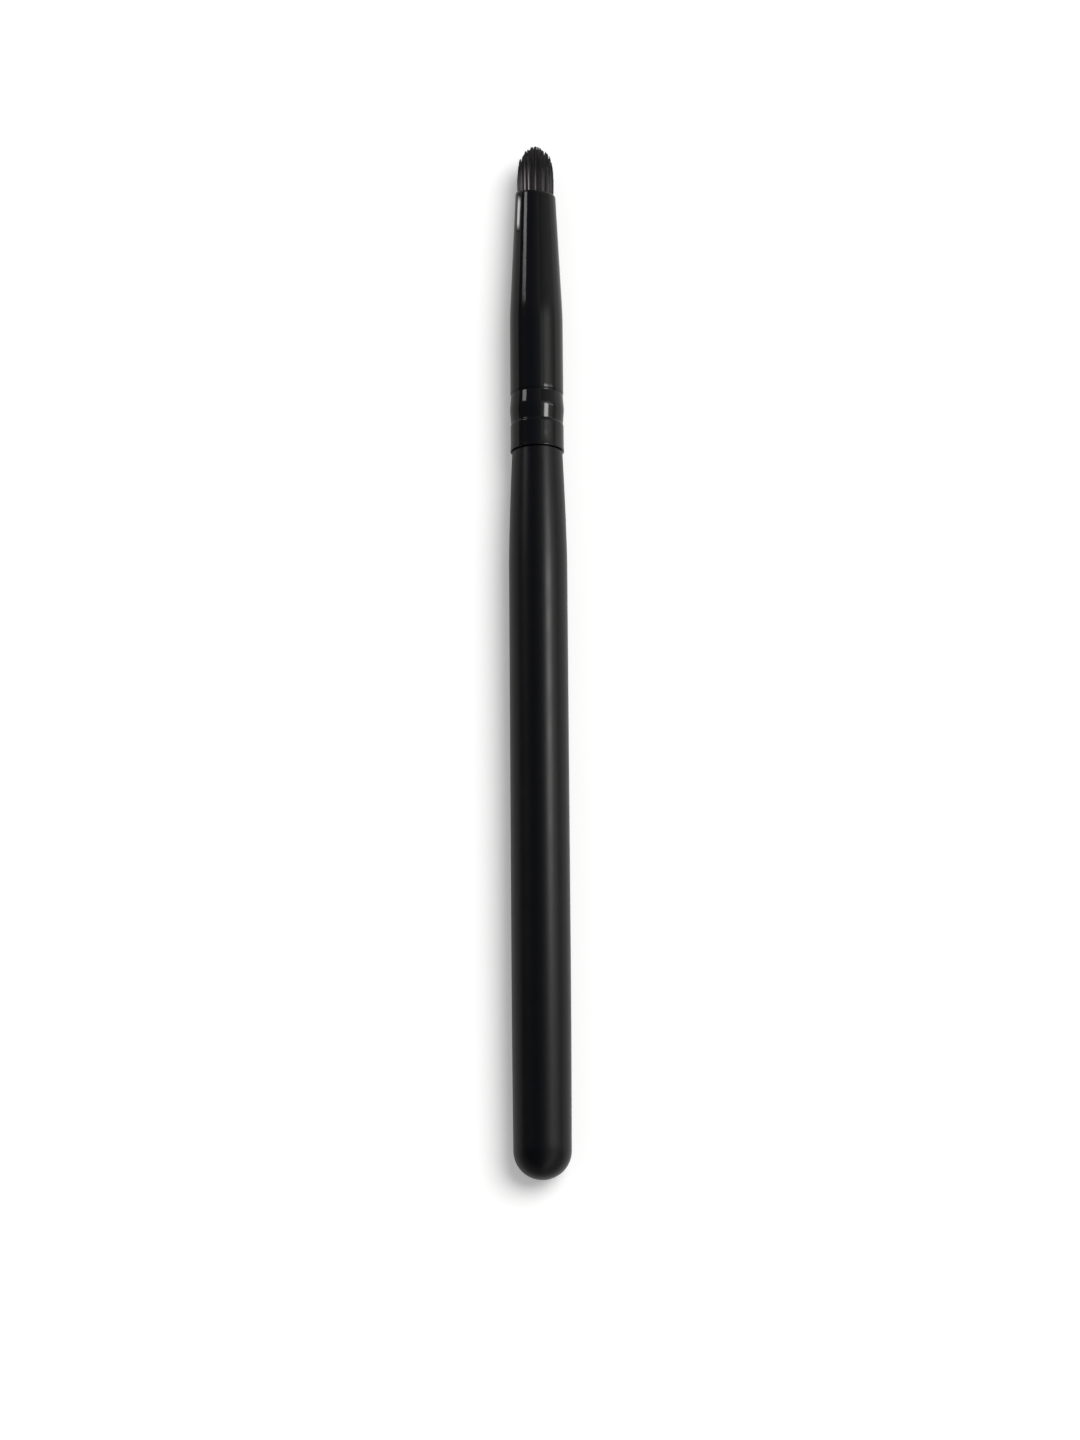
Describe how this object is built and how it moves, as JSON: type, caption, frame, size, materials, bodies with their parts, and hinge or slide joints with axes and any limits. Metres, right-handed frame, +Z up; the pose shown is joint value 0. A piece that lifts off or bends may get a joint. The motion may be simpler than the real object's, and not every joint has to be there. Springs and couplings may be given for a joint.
{
  "type": "lip brush",
  "caption": "Slim round lip brush with a turned handle, a tapered crimped ferrule and a short domed tuft of dark bristles.",
  "frame": {"origin": "on the table under the middle of the brush's length, below its axis", "axes": "+Y along the brush from the handle's round end to the hair, +Z up from the table it lies on, +X to the side on which the ferrule's slanted mouth is lower, half turned towards the top"},
  "size_m": [0.0078, 0.145, 0.0079],
  "materials": {
    "handle_lacquer": "turned wood under matte black lacquer",
    "ferrule_coat": "drawn aluminium with a gloss black coat",
    "bristle": "fine dark synthetic filament",
    "resin": "set clear amber resin"
  },
  "bodies": {
    "root": {"handle": "handle_lacquer", "ferrule": "ferrule_coat", "bristle_tuft": "bristle", "glue_plug": "resin"}
  },
  "joints": []
}
